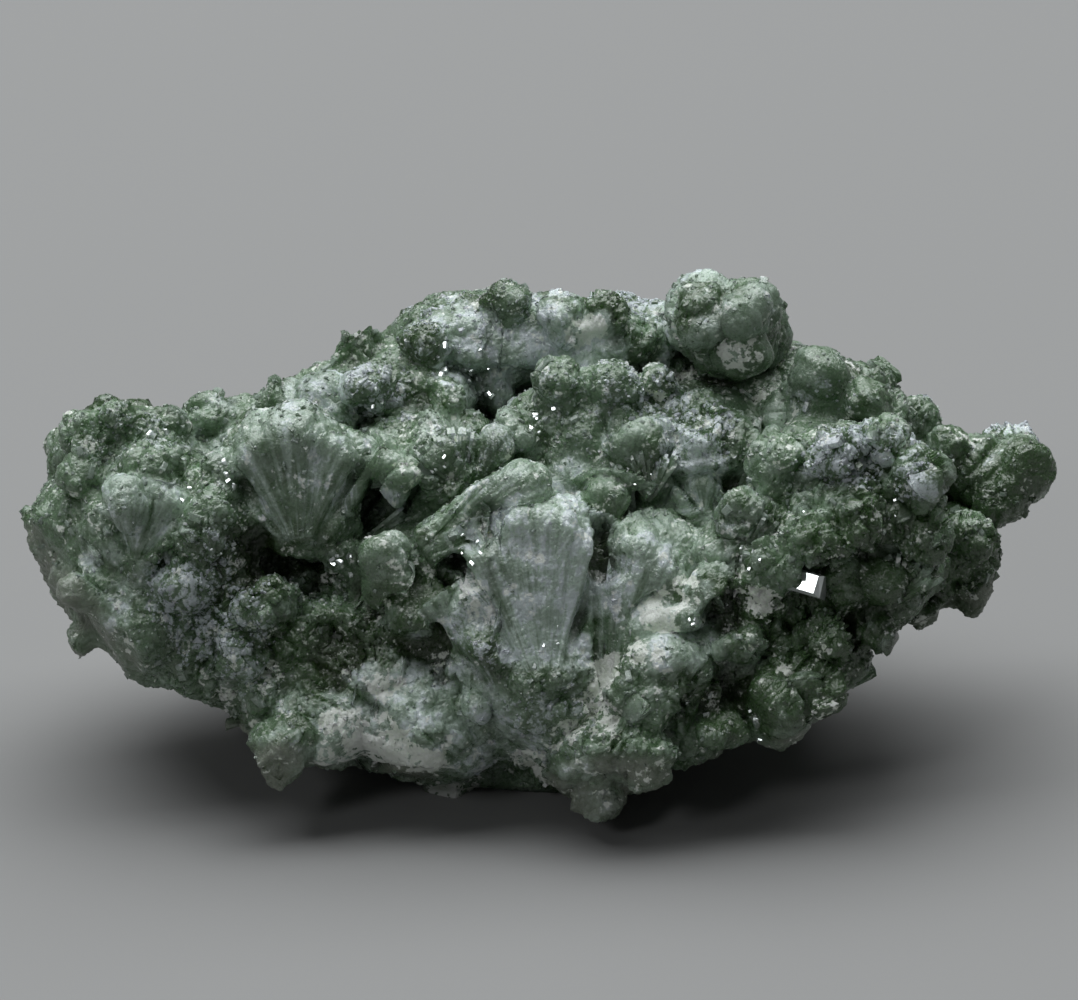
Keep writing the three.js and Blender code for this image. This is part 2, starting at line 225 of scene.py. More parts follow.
# Milky, frosted and white places, and dark ones, the dark partly the mineral's own colour and partly
# painted shade in hollows and under overhangs: pixel, radius in mm and strength
places = {
    "milk": [
        (560, 560, 5.5, 1), (548, 620, 6, 1), (520, 540, 4, 0.8), (590, 590, 3.5, 0.9),
        (650, 565, 4.5, 0.6), (640, 620, 4, 0.55), (703, 482, 3.8, 0.7), (505, 492, 5, 0.6),
        (440, 530, 4, 0.4), (396, 499, 3, 0.8), (488, 369, 7, 0.9), (589, 340, 4, 1),
        (553, 350, 6, 0.9), (735, 320, 5, 0.45), (213, 414, 3.6, 0.6), (128, 511, 5, 0.7),
        (110, 590, 5, 0.6), (300, 480, 6, 0.6), (284, 755, 5, 0.5), (434, 698, 7, 0.8),
        (388, 710, 5, 0.8), (340, 740, 5, 0.8), (480, 750, 6, 0.7), (560, 770, 5, 0.6),
        (600, 800, 4, 0.5), (745, 500, 4, 0.4), (990, 440, 4, 0.4), (270, 690, 4, 0.4),
    ],
    "frost": [
        (848, 451, 4.5, 1), (910, 447, 3, 0.9), (917, 481, 2.6, 0.8), (830, 414, 4, 0.6),
        (700, 440, 5, 0.8), (640, 400, 6, 0.7), (600, 430, 4, 0.5), (380, 378, 5, 0.7),
        (450, 330, 6, 0.7), (530, 320, 5, 0.6),
        (330, 410, 4, 0.5), (200, 600, 6, 0.8), (215, 560, 4, 0.7), (240, 650, 5, 0.7),
        (300, 600, 4, 0.5), (560, 720, 5, 0.6), (470, 640, 5, 0.7), (130, 660, 5, 0.3),
        (160, 440, 6, 0.5), (470, 440, 5, 0.5), (880, 560, 5, 0.3), (560, 400, 4, 0.5),
    ],
    "white": [
        (589, 330, 2, 1), (738, 350, 1.7, 0.9), (650, 372, 2.4, 0.7), (690, 380, 2.2, 0.7),
        (762, 400, 2.2, 0.7), (676, 596, 1.9, 0.8), (660, 620, 2.1, 0.9), (640, 648, 2.4, 0.95),
        (620, 675, 2.5, 1), (598, 702, 2.4, 1), (540, 760, 3, 0.8), (655, 655, 1.8, 0.7),
        (572, 735, 2.4, 0.9), (608, 735, 1.6, 0.6), (761, 592, 2.1, 0.95),
        (345, 742, 3.8, 1), (380, 752, 3.8, 1), (415, 766, 3.2, 1), (455, 784, 3, 1),
        (232, 690, 1.8, 0.7), (264, 675, 1.8, 0.7), (385, 685, 2, 0.8), (480, 630, 2.0, 0.5),
        (475, 600, 1.8, 0.6), (700, 350, 2.4, 0.5),
    ],
    "dark": [
        (422, 600, 4, 0.8), (424, 636, 4, 1), (337, 659, 5, 0.9), (300, 640, 4, 0.7),
        (602, 560, 2.6, 1), (727, 606, 3.4, 0.8), (772, 687, 4, 0.8), (818, 687, 6, 0.9),
        (868, 540, 6, 0.7), (860, 600, 7, 0.8), (940, 620, 6, 0.9), (980, 580, 6, 0.8),
        (950, 500, 6, 0.8), (480, 305, 3, 0.6), (424, 340, 3, 0.5), (615, 306, 2.5, 0.7),
        (810, 640, 6, 0.7), (250, 560, 4, 0.6), (1000, 480, 7, 0.7),
        (1010, 445, 5, 0.5), (700, 330, 3, 0.4), (770, 330, 3, 0.4), (730, 700, 4, 0.6),
    ],
}
zoneSpots = [spotsOf(rows) for rows in places.values()]

# The faces along which the stone broke, as on the solid: a point and the way each faces
breaks = np.array([
    [[-41.6, -9.2, 18], [-0.8, -0.45, -0.4]],
    [[-10.1, -22.2, 9], [-0.05, -0.7, -0.71]],
    [[-6.1, 20.8, 18], [-0.25, 0.93, -0.27]],
    [[-0.1, 12.8, 6], [0.1, 0.5, -0.86]],
    [[-26.1, -1.2, 5.5], [-0.4, -0.1, -0.91]],
    [[29.9, -1.2, 11], [0.42, -0.1, -0.9]],
])


breakDepths = (-1.6, -0.5)      # from where to where the stone turns into a broken face

# The side away from the photograph has patches scattered over it
farSide = {
    "from": 7,                  # y at which the patches begin
    "to": 11,                   # and at which they are in full
    "edge": 0.3,
    # For each zone how far apart they lie, the height of the waves at which they begin, and
    # how strong they are
    "patches": ((13, 0.12, 0.9), (9, 0.25, 0.9), (10, 0.42, 0.8), (11, 0.15, 0.8)),
}


# Milky, frosted, white, and dark, which is partly the mineral's own colour and partly painted shade
def zonesAt(points):
    # Milky, frosted, white and dark
    ragged = 0.45 * waves(points, 2.6, 4, seed=40)
    zones = np.stack([strongest(points, spots, ragged, 0.55) for spots in zoneSpots], axis=1)
    far = np.flatnonzero(points[:, 1] > farSide["from"])
    fade = smooth(farSide["from"], farSide["to"], points[far, 1])
    for k, (size, height, strength) in enumerate(farSide["patches"]):
        patch = smooth(height, height + farSide["edge"], waves(points[far], size, 4, seed=60 + 5 * k))
        zones[far, k] = np.maximum(zones[far, k], fade * strength * patch)
    return zones


def brokenAt(points):
    # 1 on a broken face and 0 well inside it
    share = np.zeros(len(points))
    for point, facing in breaks:
        share = np.maximum(share, smooth(*breakDepths, (points - point) @ unit(facing)))
    return share


def meshOf(name, points, faces):
    # Faces come as arrays of rows of 3, 4 or more corners
    mesh = bpy.data.meshes.new(name)
    corners = np.concatenate([rows.ravel() for rows in faces])
    counts = np.concatenate([np.full(len(rows), rows.shape[1]) for rows in faces])
    mesh.vertices.add(len(points))
    mesh.vertices.foreach_set("co", (points * mm).astype(np.float32).ravel())
    mesh.loops.add(len(corners))
    mesh.loops.foreach_set("vertex_index", corners.astype(np.int32))
    mesh.polygons.add(len(counts))
    mesh.polygons.foreach_set("loop_start", (np.cumsum(counts) - counts).astype(np.int32))
    mesh.update(calc_edges=True)
    return mesh, counts


def makePiece(name, points, faces, tone, flow, material, sharpAngle=None, zones=None):
    # tone holds crest height, cavity, which darkens the hollows as painted shade, a random shade of tone
    # and brokenness; flow is where the streaks of the material are read, in mm
    mesh, counts = meshOf(name, points, faces)
    mesh.validate()
    zones = zonesAt(points) if zones is None else zones
    for label, values in {"tone": tone, "zone": zones}.items():
        layer = mesh.attributes.new(label, "FLOAT_COLOR", "POINT")
        layer.data.foreach_set("color", values.astype(np.float32).ravel())
    layer = mesh.attributes.new("flow", "FLOAT_VECTOR", "POINT")
    layer.data.foreach_set("vector", flow.astype(np.float32).ravel())
    mesh.polygons.foreach_set("use_smooth", np.full(len(counts), sharpAngle is not None))
    if sharpAngle:
        mesh.set_sharp_from_angle(angle=sharpAngle)
    mesh.materials.append(material)
    piece = bpy.data.objects.new(name, mesh)
    bpy.context.collection.objects.link(piece)
    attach(piece, "root")
    print(name, sum(counts - 2), "triangles")
    return piece


# Materials

def newGroup(name, inputs, outputs):
    group = bpy.data.node_groups.new(name, "ShaderNodeTree")
    for label, kind, value in inputs:
        socket = group.interface.new_socket(label, in_out="INPUT", socket_type=kind)
        socket.default_value = value
    for label, kind in outputs:
        group.interface.new_socket(label, in_out="OUTPUT", socket_type=kind)
    return group, group.nodes.new("NodeGroupInput"), group.nodes.new("NodeGroupOutput")


def fill(tree, node, inputs):
    # Each input is a value or another node's output. Its label is a name, or _ and a number
    for label, value in inputs.items():
        socket = node.inputs[int(label[1:]) if label[1:].isdigit() else label.replace("_", " ")]
        if isinstance(value, bpy.types.NodeSocket):
            tree.links.new(value, socket)
        else:
            socket.default_value = value


def newNode(tree, kind, settings=None, **inputs):
    node = tree.nodes.new("ShaderNode" + kind)
    for label, value in (settings or {}).items():
        setattr(node, label, value)
    fill(tree, node, inputs)
    return node


def newMaterial(name):
    material = bpy.data.materials.new(name)
    material.use_nodes = True
    tree = material.node_tree
    return material, tree, tree.nodes["Principled BSDF"]


def worked(tree, operation, a, b, clamp=False):
    settings = {"operation": operation, "use_clamp": clamp}
    return newNode(tree, "Math", settings, _0=a, _1=b).outputs[0]


def ranged(tree, value, low, high, toLow=0.0, toHigh=1.0):
    node = newNode(tree, "MapRange", {"interpolation_type": "SMOOTHSTEP"}, Value=value,
                   From_Min=low, From_Max=high, To_Min=toLow, To_Max=toHigh)
    return node.outputs[0]


def mixed(tree, share, a, b, blend="MIX"):
    node = newNode(tree, "Mix", {"data_type": "RGBA", "blend_type": blend}, _0=share, _6=a, _7=b)
    return node.outputs[2]


def noiseOf(tree, place, scale, detail, rough):
    node = newNode(tree, "TexNoise", Vector=place, Scale=scale, Detail=detail, Roughness=rough)
    return node.outputs["Fac"]


mineral = {
    "deep": (0.018, 0.032, 0.010, 1),      # painted shade in the hollows and shaded parts
    "bottle": (0.038, 0.073, 0.028, 1),    # thick clear crystal
    "green": (0.087, 0.142, 0.080, 1),     # thin clear crystal
    "crest": (0.246, 0.316, 0.254, 1),     # edges and tops
    "milk": (0.352, 0.430, 0.380, 1),      # cloudy crystal
    "frost": (0.440, 0.490, 0.510, 1),     # bluish sugar of fine crystals
    "cream": (0.610, 0.640, 0.590, 1),     # white matrix
    "stone": (0.180, 0.195, 0.160, 1),     # broken faces
}
clearCrystal = {
    "ior": 1.63,
    "milkiness": 0.5,           # share of the light that is scattered below the surface
    "reach": (0.8, 1.0, 0.7),   # how far red, green and blue go, as shares of the depth
    "depth": 2.2,               # mm
    "coatRough": 0.08,
    "bump": 0.25,               # mm
}


# Scale, detail and roughness of the noises. The streaks are read in mm, the others in metres
noises = {
    "streak": (0.8, 3.0, 0.62),
    "patch": (420.0, 3.0, 0.68),
    "blotch": (200.0, 2.0, 0.55),
    "fine": (1500.0, 2.0, 0.6),
    "grain": (4200.0, 1.0, 0.6),
    "skin": (6500.0, 1.0, 0.6),
}


def scaled(tree, value, factor, offset=0.0):
    return worked(tree, "ADD", worked(tree, "MULTIPLY", value, factor), offset)


def swayed(tree, value, *sways):
    # A value raised and lowered by noises about their middles, each by its own amount
    for noise, amount in sways:
        around = worked(tree, "SUBTRACT", noise, 0.5)
        value = worked(tree, "ADD", value, worked(tree, "MULTIPLY", around, amount))
    return value


def colourGroup():
    # Colour and roughness of the mineral from its attributes. Each mask is swayed by noises, and
    # the range in which it sets in gives the share of its colour
    masks = ("Crest", "Cavity", "Shade", "Broken", "Milk", "Frost", "White", "Dark")
    inputs = [(name, "NodeSocketFloat", 0.0) for name in masks]
    inputs += [(name, "NodeSocketVector", (0, 0, 0)) for name in ("Flow", "Place")]
    tree, given, out = newGroup("mineralColour", inputs,
                                [("Color", "NodeSocketColor"), ("Roughness", "NodeSocketFloat")])
    get = given.outputs
    streak = noiseOf(tree, get["Flow"], *noises["streak"])
    patch, blotch, fine, grain = (noiseOf(tree, get["Place"], *noises[name])
                                  for name in ("patch", "blotch", "fine", "grain"))
    shade = (get["Shade"], 0.5)
    # Clear crystal, darker bottle green in blotches, at random and in the dark zone, which is partly
    # painted shade
    thick = swayed(tree, scaled(tree, get["Dark"], 0.7, 0.45), (blotch, 1.6), shade)
    colour = mixed(tree, ranged(tree, thick, 0.3, 0.75), mineral["green"], mineral["bottle"])
    # Its crest brightens with height, streaks and grain
    lift = swayed(tree, scaled(tree, get["Crest"], 1.25, -0.22), (streak, 0.9), (fine, 0.45), shade)
    # Painted shade in part: the dark zone keeps the crests low
    lift = worked(tree, "SUBTRACT", lift, scaled(tree, get["Dark"], 0.4))
    colour = mixed(tree, ranged(tree, lift, 0.2, 1.0), colour, mineral["crest"])
    # Milky crystal, in clouds drawn out along the growth and torn white flakes
    cloud = swayed(tree, scaled(tree, get["Milk"], 0.8), (streak, 1.3), (patch, 0.9))
    colour = mixed(tree, ranged(tree, cloud, 0.25, 0.85, 0.0, 0.9), colour, mineral["milk"])
    flake = swayed(tree, scaled(tree, get["Milk"], 0.55), (patch, 1.9), (streak, 1.0), (fine, 0.3))
    colour = mixed(tree, ranged(tree, flake, 0.46, 0.62, 0.0, 0.8), colour, mineral["frost"])
    # Broken faces, duller and greyer
    worn = worked(tree, "MULTIPLY", get["Broken"], ranged(tree, blotch, 0.35, 0.6, 0.2, 0.75))
    colour = mixed(tree, worn, colour, mineral["stone"])
    # Painted shade: deep green in the hollows, where the stone is closed in, and more in the dark zone
    hollowShade = swayed(tree, scaled(tree, get["Dark"], 0.16), (blotch, 0.25))
    hollowShade = worked(tree, "ADD", hollowShade, get["Cavity"])
    colour = mixed(tree, ranged(tree, hollowShade, 0.44, 0.72, 0.0, 0.92), colour, mineral["deep"])
    # Frost on the tops
    sugar = worked(tree, "MULTIPLY", get["Frost"], ranged(tree, lift, 0.1, 0.6, 0.25, 1.0))
    sugar = swayed(tree, sugar, (grain, 0.9), (patch, 0.9), (fine, 0.4))
    colour = mixed(tree, ranged(tree, sugar, 0.40, 0.80, 0.0, 0.85), colour, mineral["frost"])
    # White matrix
    chalk = swayed(tree, scaled(tree, get["White"], 0.72), (fine, 2.0), (patch, 2.8), (grain, 0.5))
    chalk = ranged(tree, chalk, 0.36, 0.62, 0.0, 0.9)
    colour = mixed(tree, chalk, colour, mineral["cream"])
    rough = worked(tree, "ADD", ranged(tree, fine, 0.35, 0.65, 0.2, 0.45), scaled(tree, chalk, 0.4))
    rough = worked(tree, "ADD", rough, scaled(tree, get["Broken"], 0.15), clamp=True)
    tree.links.new(colour, out.inputs["Color"])
    tree.links.new(rough, out.inputs["Roughness"])
    return tree


def facetGroup():
    # A normal tilted at random in each small cell, as on a skin of tiny crystal faces, with a
    # bump that rises to each cell's middle
    tree, given, out = newGroup("crystalFacets", [
        ("Place", "NodeSocketVector", (0, 0, 0)), ("Scale", "NodeSocketFloat", 2500.0),
        ("Tilt", "NodeSocketFloat", 0.3), ("Depth", "NodeSocketFloat", 0.3),
    ], [("Normal", "NodeSocketVector")])
    get = given.outputs
    flakes = newNode(tree, "TexVoronoi", {"feature": "F1"}, Vector=get["Place"], Scale=get["Scale"])
    spin = newNode(tree, "VectorMath", {"operation": "SUBTRACT"}, _0=flakes.outputs["Color"],
                   _1=(0.5, 0.5, 0.5))
    tilt = newNode(tree, "VectorMath", {"operation": "SCALE"}, _0=spin.outputs[0], Scale=get["Tilt"])
    facing = newNode(tree, "NewGeometry")
    leaned = newNode(tree, "VectorMath", {"operation": "ADD"}, _0=facing.outputs["Normal"],
                     _1=tilt.outputs[0])
    normal = newNode(tree, "VectorMath", {"operation": "NORMALIZE"}, _0=leaned.outputs[0])
    rise = worked(tree, "SUBTRACT", 1.0, flakes.outputs["Distance"])
    rise = worked(tree, "ADD", rise, noiseOf(tree, get["Place"], *noises["skin"]))
    bump = newNode(tree, "Bump", Strength=get["Depth"], Distance=clearCrystal["bump"] * mm, Height=rise,
                   Normal=normal.outputs[0])
    tree.links.new(bump.outputs[0], out.inputs["Normal"])
    return tree


mineralColour = colourGroup()
crystalFacets = facetGroup()


def prehniteMaterial(name, facetScale, tilt, depth, coat):
    material, tree, shader = newMaterial(name)
    tone = newNode(tree, "Attribute", {"attribute_name": "tone"})
    zone = newNode(tree, "Attribute", {"attribute_name": "zone"})
    flow = newNode(tree, "Attribute", {"attribute_name": "flow"})
    place = newNode(tree, "TexCoord").outputs["Object"]
    parts = newNode(tree, "SeparateColor", Color=tone.outputs["Color"]).outputs
    kinds = newNode(tree, "SeparateColor", Color=zone.outputs["Color"]).outputs
    look = newNode(tree, "Group", {"node_tree": mineralColour}, Crest=parts[0], Cavity=parts[1],
                   Shade=parts[2], Broken=tone.outputs["Alpha"], Milk=kinds[0], Frost=kinds[1],
                   White=kinds[2], Dark=zone.outputs["Alpha"], Flow=flow.outputs["Vector"],
                   Place=place)
    facets = newNode(tree, "Group", {"node_tree": crystalFacets}, Place=place, Scale=facetScale,
                     Tilt=tilt, Depth=depth)
    shader.subsurface_method = "BURLEY"
    fill(tree, shader, {
        "Base Color": look.outputs["Color"], "Roughness": look.outputs["Roughness"],
        "Normal": facets.outputs["Normal"], "IOR": clearCrystal["ior"],
        "Subsurface Weight": clearCrystal["milkiness"], "Subsurface Radius": clearCrystal["reach"],
        "Subsurface Scale": clearCrystal["depth"] * mm, "Coat Weight": coat,
        "Coat Roughness": clearCrystal["coatRough"],
    })
    return material


def plainMaterial(name, colour, rough, metallic=0.0, coat=0.0):
    material, tree, shader = newMaterial(name)
    fill(tree, shader, {"Base Color": colour, "Roughness": rough, "Specular IOR Level": 0.2,
                        "Metallic": metallic, "Coat Weight": coat})
    return material


# The scale, tilt and depth of the facets and the strength of the coat
bodyLook = prehniteMaterial("prehniteCore", 3000.0, 0.4, 0.4, 0.15)
sheafLook = prehniteMaterial("prehniteSheaf", 1300.0, 0.12, 0.2, 0.4)
crystalLook = prehniteMaterial("prehniteCrystal", 2200.0, 0.3, 0.35, 0.25)
print("materials made")


# The body: the solid as a fine grid, made rounder, with crystals swelling out of it. It is
# divided into slabs along X, since one mesh would be too large. Past its seam each slab runs
# on a little way under its neighbour, so that no gap and no edge shows

body = {
    "voxel": 0.2,
    "slabs": 7,
    "under": 1.2,               # how far a slab runs on under its neighbour
    "sink": 0.22,               # and how steeply it goes down there
    "roundings": 16,
    "domains": 7.5,             # clusters of crystals that grew one way
    "flatten": 2.1,             # how much thinner than wide their crystals are
    "swell": (7.0, 0.45),       # wavelength and height of the waves over the whole
    "balls": (4.2, 0.70),       # size of the cells and height of their domes
    # Size, dome, slope and step of the crystals, the last two on round and on platy parts
    "leaves": (2.2, 0.34, (0.10, 0.34), (0.08, 0.42)),
    "facets": (1.0, 0.11, (0.12, 0.26), (0.07, 0.15)),
    "grains": (0.5, 0.06, (0.26, 0.26), (0.07, 0.07)),
    "ribs": ((3.0, 0.5, (0.06, 0.06), (0.3, 0.3)), (1.2, 0.14, (0.06, 0.06), (0.14, 0.14)),
             (0.45, 0.07, (0.14, 0.14), (0.07, 0.07))),
    "arch": 1.3,                # how much higher the middle of a fan is than its sides
    "warp": (3.0, 0.6),         # wavelength and height of the bends in the crystals' rows
    "fanCalm": (0.85, 0.6),     # how much lower crystals are on a fan, less by this at its crest
    "milkCalm": 0.35,           # and how much lower where it is milky
    "lowered": 0.36,            # so that the crystals stand about as high as the solid
    "tops": (0.5, 0.3, 0.2),    # shares of leaves, facets and grains in the crest value
    "crease": 70,               # degrees
    "restSpan": 1.4,            # height over which the resting spot stays flat
    "beyondBox": 0.6,
}


def normalsOf(points, faces):
    # Each face's normal, as long as its area, added up at its corners
    facing = np.cross(points[faces[:, 1]] - points[faces[:, 0]], points[faces[:, 2]] - points[faces[:, 0]])
    total = np.zeros_like(points)
    for k in range(faces.shape[1]):
        for axis in range(3):
            total[:, axis] += np.bincount(faces[:, k], weights=facing[:, axis], minlength=len(points))
    return unit(total)


def relaxed(points, faces, times, share=0.55):
    # Each point moves a share of the way to the middle of its neighbours
    one = faces.ravel()
    two = np.roll(faces, -1, axis=1).ravel()
    number = np.maximum(np.bincount(one, minlength=len(points)), 1)[:, None]
    for turn in range(times):
        mean = np.stack([np.bincount(one, weights=points[two, axis], minlength=len(points))
                         for axis in range(3)], axis=1) / number
        points = points + share * (mean - points)
    return points


def gridBody():
    # The solid as a grid of small faces, rounded, with its resting spot kept flat
    source = bpy.data.objects.new("grid", solid)
    bpy.context.collection.objects.link(source)
    remesh = source.modifiers.new("grid", "REMESH")
    remesh.mode = "VOXEL"
    remesh.voxel_size = body["voxel"] * mm
    graph = bpy.context.evaluated_depsgraph_get()
    made = bpy.data.meshes.new_from_object(source.evaluated_get(graph))
    bpy.data.objects.remove(source)
    points, triangles = trianglesOf(made)
    resting = points[:, 2] < 0.5 * body["voxel"]
    rounded = relaxed(points, triangles, body["roundings"])
    rounded[:, 2] = np.where(resting, 0, np.maximum(rounded[:, 2], 0))
    return rounded, triangles


def slabOf(points, triangles, low, high):
    # The part between two planes, its open ends filled
    x = points[triangles, 0]
    inside = triangles[(x.max(axis=1) > low) & (x.min(axis=1) < high)]
    used, index = np.unique(inside, return_inverse=True)
    rough, _ = meshOf("rough", points[used], [index.reshape(-1, 3)])
    shape = bmesh.new()
    shape.from_mesh(rough)
    for place, facing in ((low, -1), (high, 1)):
        if math.isinf(place):
            continue
        made = bmesh.ops.bisect_plane(
            shape, geom=shape.verts[:] + shape.edges[:] + shape.faces[:], dist=1e-8,
            plane_co=(place * mm, 0, 0), plane_no=(facing, 0, 0), clear_outer=True)
        rim = [edge for edge in made["geom_cut"] if isinstance(edge, bmesh.types.BMEdge)]
        cap = bmesh.ops.triangle_fill(shape, edges=rim, use_beauty=True, normal=(facing, 0, 0))
        for face in cap["geom"]:
            if isinstance(face, bmesh.types.BMFace) and face.normal.x * facing < 0:
                face.normal_flip()
    bmesh.ops.triangulate(shape, faces=shape.faces[:])
    shape.to_mesh(rough)
    shape.free()
    return trianglesOf(rough)


def dome(nearest, reach=0.75):
    # The top of a ball over each cell's middle
    return np.sqrt(np.maximum(0, 1 - (nearest / reach) ** 2))


def crystalCells(points, look, seed, platy=0):
    # Cells, each a dome with a tilted face that stands a step above or below its neighbours
    size, height, slopes, steps = look
    slope = slopes[0] + (slopes[1] - slopes[0]) * platy
    step = steps[0] + (steps[1] - steps[0]) * platy
    near, following, offset, number = cells(points, size, seed)
    tilt = (offset * unit(number - 0.5)).sum(axis=1) * size * slope
    gap = smooth(0, 0.12, following - near)
    return height * dome(near) + tilt + step * (number[:, 2] - 0.5), gap, number


# Crystal fans. root: pixel of the root; reach: root to crest in pixels; aim: the way it opens
# across the picture, 90 being up; spread: half its opening; lean: how far the crest tips
# towards the viewer; thick: mm; milk: how cloudy it is

fanParts = ("root", "reach", "aim", "spread", "lean", "thick", "milk")
fans = [dict(zip(fanParts, row)) for row in (
    ((300, 548), 122, 91, 38, 8, 6, 0.55), ((352, 520), 84, 84, 30, -5, 5, 0.2),
    ((398, 528), 56, 92, 27, 10, 3, 0.4), ((425, 552), 135, 31, 16, 5, 6, 0.4),
    ((545, 690), 184, 95, 26, 2, 7, 0.8), ((500, 695), 115, 108, 26, 5, 6, 0.6),
    ((608, 712), 186, 73, 21, 2, 7, 0.45), ((425, 560), 70, 270, 42, 10, 6, 0),
    ((610, 530), 60, 88, 38, 5, 5, 0.1), ((645, 495), 64, 95, 36, 5, 5, 0.1),
    ((705, 515), 55, 90, 40, 8, 6, 0.5), ((470, 770), 150, 163, 15, 0, 4, 0.6),
    ((470, 480), 58, 132, 34, 15, 5, 0), ((478, 478), 60, 60, 30, 10, 4, 0.2),
    ((130, 565), 80, 80, 30, 2, 7, 0.7), ((110, 600), 66, 165, 24, 0, 7, 0.3),
)]


fanShape = {
    "found": 0.62,              # share of the reach at which a fan's place is looked up
    "focus": 0.12,              # how far below the root its ribs would meet, as a share too
    "drawn": 8,                 # how much its streaks are drawn out along the radius
    "layers": 0.6,              # and squeezed through its thickness
    "limit": 1.4,               # no part of it is further from its root than this share
    # From where to where it fades out at its sides, crest, faces and root, as shares of its
    # spread, reach, thickness and reach
    "sides": (0.95, 1.2),
    "crest": (1.12, 1.3),
    "faces": (0.5, 0.75),
    "root": (0.02, 0.2),
}

# Those on the side away from the photograph
farFan = {
    "count": 18,
    "found": 0.6,
    "apart": 9,                 # least distance between them in mm
    "above": 5,                 # least height over the table in mm
    "thick": (4, 7),
    "reach": (75, 125),
    "spread": (24, 42),
    "milk": (0, 0.2, 0.5, 0.8),
}


def inPicture(aim):
    # The direction that an angle in the picture stands for
    return math.cos(aim) * right + math.sin(aim) * upward


def alongFan(fan, share):
    # The place on the stone at a share of the way from a fan's root to its crest
    aim = math.radians(fan["aim"])
    step = share * fan["reach"]
    return seen(fan["root"][0] + step * math.cos(aim), fan["root"][1] - step * math.sin(aim))


def fanFrames():
    # Each fan's root and its three axes, across, out of its face and up its middle
    for fan in fans:
        lean = math.radians(fan["lean"])
        up = math.cos(lean) * inPicture(math.radians(fan["aim"])) + math.sin(lean) * toward
        across = unit(np.cross(toward, up))
        out = np.cross(up, across)
        out = out * np.sign(out @ toward)
        down = fanShape["found"] * fan["reach"] / sight["pixelsPerMm"]
        root = alongFan(fan, fanShape["found"]) - up * down - out * fan["thick"] / 2
        yield fan, root, across, out, up


def farFans():
    # More fans, each at a random place that faces away from the photograph, lying in the
    # surface and opening any way
    corners = solidPoints[solidFaces]
    middles = corners.mean(axis=1)
    facing = unit(np.cross(corners[:, 1] - corners[:, 0], corners[:, 2] - corners[:, 0]))
    hidden = np.flatnonzero((facing @ toward < -0.1) & (middles[:, 2] > farFan["above"]))
    chosen = []
    for index in random.permutation(hidden):
        gaps = [np.linalg.norm(middles[index] - middles[other]) for other in chosen]
        if len(chosen) < farFan["count"] and min(gaps, default=math.inf) > farFan["apart"]:
            chosen.append(index)
    for index in chosen:
        place, facingOut, _, _ = solidTree.find_nearest(Vector(middles[index]))
        out = np.array(facingOut)
        up = unit(np.cross(out, random.normal(size=3)))
        across = np.cross(out, up)
        thick, reach = random.uniform(*farFan["thick"]), random.uniform(*farFan["reach"])
        fan = {"reach": reach, "spread": random.uniform(*farFan["spread"]), "thick": thick,
               "milk": random.choice(farFan["milk"])}
        root = np.array(place) - up * farFan["found"] * reach / sight["pixelsPerMm"] - out * thick / 2
        yield fan, root, across, out, up


fanPlaces = list(fanFrames()) + list(farFans())


def fanAt(points):
    # Which fan a point is on: how surely, where along its radius, how milky, how near its
    # middle line, and the place in the fan's own streaks, across by angle and drawn out
    # along the radius
    surely, along, milky, arch = np.zeros((4, len(points)))
    flow = np.zeros_like(points)
    for number, (fan, root, across, out, up) in enumerate(fanPlaces):
        reach = fan["reach"] / sight["pixelsPerMm"]
        spread = math.radians(fan["spread"])
        near = np.flatnonzero(((points - root) ** 2).sum(axis=1) < (fanShape["limit"] * reach) ** 2)
        away = points[near] - root
        x, y, z = away @ across, away @ out, away @ up
        radius = np.hypot(x, z + fanShape["focus"] * reach)
        angle = np.arctan2(x, z + fanShape["focus"] * reach)
        sides = 1 - smooth(*fanShape["sides"], np.abs(angle) / spread)
        crest = 1 - smooth(*fanShape["crest"], radius / reach)
        faces = 1 - smooth(*fanShape["faces"], np.abs(y) / fan["thick"])
        share = sides * crest * (faces * smooth(*fanShape["root"], z / reach))
        better = share > surely[near]
        here = near[better]
        surely[here] = share[better]
        along[here] = radius[better] / ((1 + fanShape["focus"]) * reach)
        milky[here] = fan["milk"]
        arch[here] = 1 - np.clip(angle[better] / spread, -1, 1) ** 2
        streaks = np.stack([angle * reach, radius / fanShape["drawn"],
                            y * fanShape["layers"] + 9.0 * number], axis=1)
        flow[here] = streaks[better]
    return surely, np.clip(along, 0, 1), milky * surely, arch, flow


# Where flat crystals stand over one another like shingles: pixel, radius in mm and strength.
# Elsewhere the stone is rounder, but for a third of its domains
shingles = [
    (850, 500, 9, 1), (900, 570, 8, 1), (800, 640, 7, 1), (700, 440, 4.5, 1), (742, 560, 5, 1),
    (930, 500, 6, 1), (442, 460, 4, 1), (350, 430, 4, 1), (700, 700, 5, 1), (310, 600, 5, 1),
    (240, 640, 6, 1), (640, 470, 4, 1),
]
shingleSpots = spotsOf(shingles)

# Hollows and lumps to be made lower: pixel, radius and depth in mm
pits = [
    (604, 560, 2.3, 1.3), (597, 535, 1.8, 0.8), (424, 640, 3.0, 0.8), (337, 659, 3.4, 1.3),
    (252, 560, 2.8, 1.2), (285, 575, 2.6, 1.0), (727, 606, 2.6, 1.0), (398, 560, 1.9, 0.5),
    (365, 600, 2.2, 0.7), (815, 690, 3.2, 1.0), (850, 610, 2.6, 0.8),
    (355, 335, 3.6, 1.6), (486, 527, 2.6, 1.3), (275, 780, 2.4, 0.9),
]
pitSpots = spotsOf(pits)


def platyAt(points, domain):
    # In full on the shingles, and less on the domains whose first number is high
    shingled = strongest(points, shingleSpots, 0.25 * waves(points, 3.0, 2, seed=45))
    return np.maximum(0.7 * smooth(0.62, 0.7, domain[:, 0]), shingled)


def pitAt(points):
    # How deep the surface is sunk, in mm
    return strongest(points, pitSpots, 0.2 * waves(points, 1.8, 2, seed=46))


